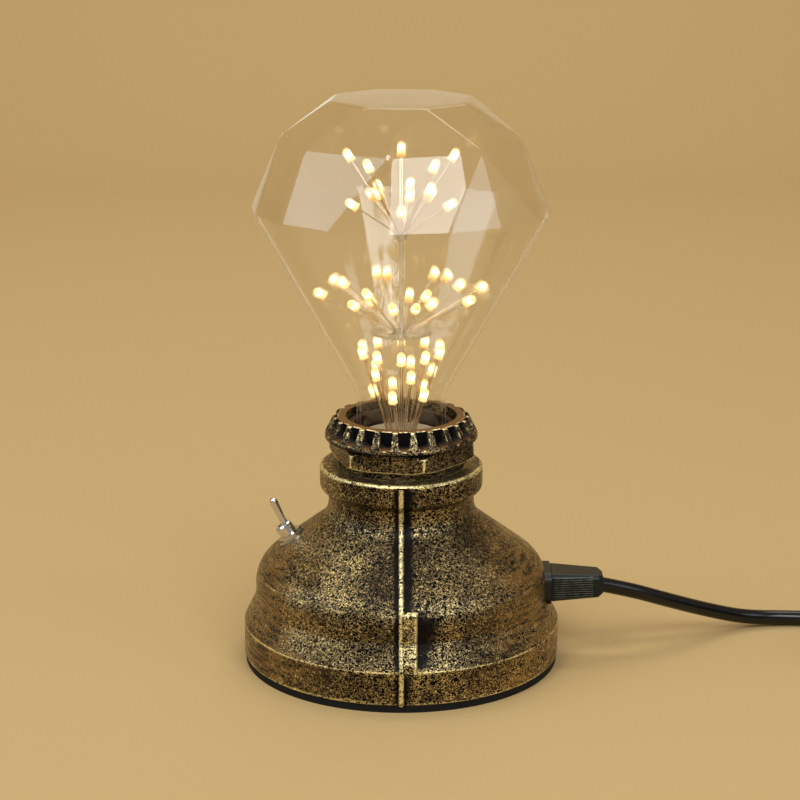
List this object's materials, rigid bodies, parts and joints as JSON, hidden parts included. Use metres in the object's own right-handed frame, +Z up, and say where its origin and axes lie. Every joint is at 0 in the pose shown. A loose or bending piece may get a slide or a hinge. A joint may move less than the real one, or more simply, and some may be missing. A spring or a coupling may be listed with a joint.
{
  "type": "industrial pipe table lamp",
  "caption": "Table lamp made from a cast pipe reducer with a hex bushing, a fluted collar, a toggle switch, a faceted clear bulb and a detachable mains lead.",
  "frame": {"origin": "centre of the base at the height of the surface that it stands on", "axes": "+Z up along the lamp's axis, +X towards the mains inlet, -Y towards the picture's camera; the toggle switch is on the -X side"},
  "size_m": [0.3864, 0.1064, 0.1868],
  "materials": {
    "cast_antique": "black antique finish with gold brushed over its grain",
    "bronze_antique": "dark bronze, black in the hollows",
    "foot_rubber": "matte",
    "black_card": "matte",
    "zinc_steel": "zinc plated",
    "holder_plastic": "moulded, satin",
    "holder_brass": "plain",
    "switch_case": "moulded",
    "switch_chrome": "bright nickel",
    "inlet_plastic": "moulded, satin",
    "nickel_pins": "nickel plated",
    "connector_plastic": "moulded, fine grain",
    "cord_black": "glossy sheath",
    "tie_black": "satin",
    "clear_glass": "clear",
    "cap_insulator": "dark vitreous insulator",
    "led_board": "white board",
    "led_metal": "satin",
    "led_warm": "lit, warm white",
    "led_copper": "thin copper coloured leads",
    "wire_brown": "insulated wire",
    "wire_blue": "insulated wire"
  },
  "bodies": {
    "root": {"base_casting": "cast_antique", "hex_bushing": "bronze_antique", "fluted_ring": "bronze_antique", "foot_ring": "foot_rubber", "bottom_cover": "black_card", "bottom_cover_screws": "zinc_steel", "inlet_clip": "zinc_steel", "lampholder_locknut": "zinc_steel", "lampholder_body": "holder_plastic", "lampholder_screw_shell": "holder_brass", "lampholder_centre_contact": "holder_brass", "lampholder_terminals": "holder_brass", "switch_terminals": "holder_brass", "switch_body": "switch_case", "switch_bushing": "switch_chrome", "switch_nut": "switch_chrome", "switch_washer": "switch_chrome", "inlet_housing": "inlet_plastic", "inlet_pins": "nickel_pins", "live_wire": "wire_brown", "switched_wire": "wire_brown", "neutral_wire": "wire_blue"},
    "switch_lever": {"switch_lever": "switch_chrome"},
    "bulb_contact": {"bulb_centre_contact": "nickel_pins"},
    "bulb": {"bulb_glass": "clear_glass", "bulb_cap": "nickel_pins", "bulb_cap_insulator": "cap_insulator", "led_board": "led_board", "led_stem": "led_metal", "led_disc": "led_metal", "led_beads_lower": "led_warm", "led_beads_middle": "led_warm", "led_beads_upper": "led_warm", "led_leads_lower": "led_copper", "led_leads_middle": "led_copper", "led_leads_upper": "led_copper"},
    "connector": {"connector_shell": "connector_plastic", "connector_contacts": "holder_brass", "supply_cord": "cord_black", "cord_coil": "cord_black", "coil_tie": "tie_black", "cord_tail": "cord_black", "plug_strain_relief": "connector_plastic", "mains_plug": "connector_plastic", "mains_plug_pins": "nickel_pins"}
  },
  "joints": [
    {"name": "switch_toggle", "type": "hinge", "parent": "root", "child": "switch_lever", "pos_m": [-0.0372, 0, 0.04228], "axis": [0, -1, 0], "range_deg": [0, 25]},
    {"name": "bulb_lift", "type": "slide", "parent": "root", "child": "bulb_contact", "axis": [0, 0, 1], "range_m": [0, 0.0182]},
    {"name": "bulb_turn", "type": "hinge", "parent": "bulb_contact", "child": "bulb", "pos_m": [0, 0, 0.06], "axis": [0, 0, 1], "range_deg": [0, 1800]},
    {"name": "connector_pull", "type": "slide", "parent": "root", "child": "connector", "axis": [1, 0, 0], "range_m": [0, 0.012]}
  ],
  "couplings": [
    {"joint": "bulb_lift", "follows": "bulb_turn", "m_per_rad": 0.00057614}
  ]
}
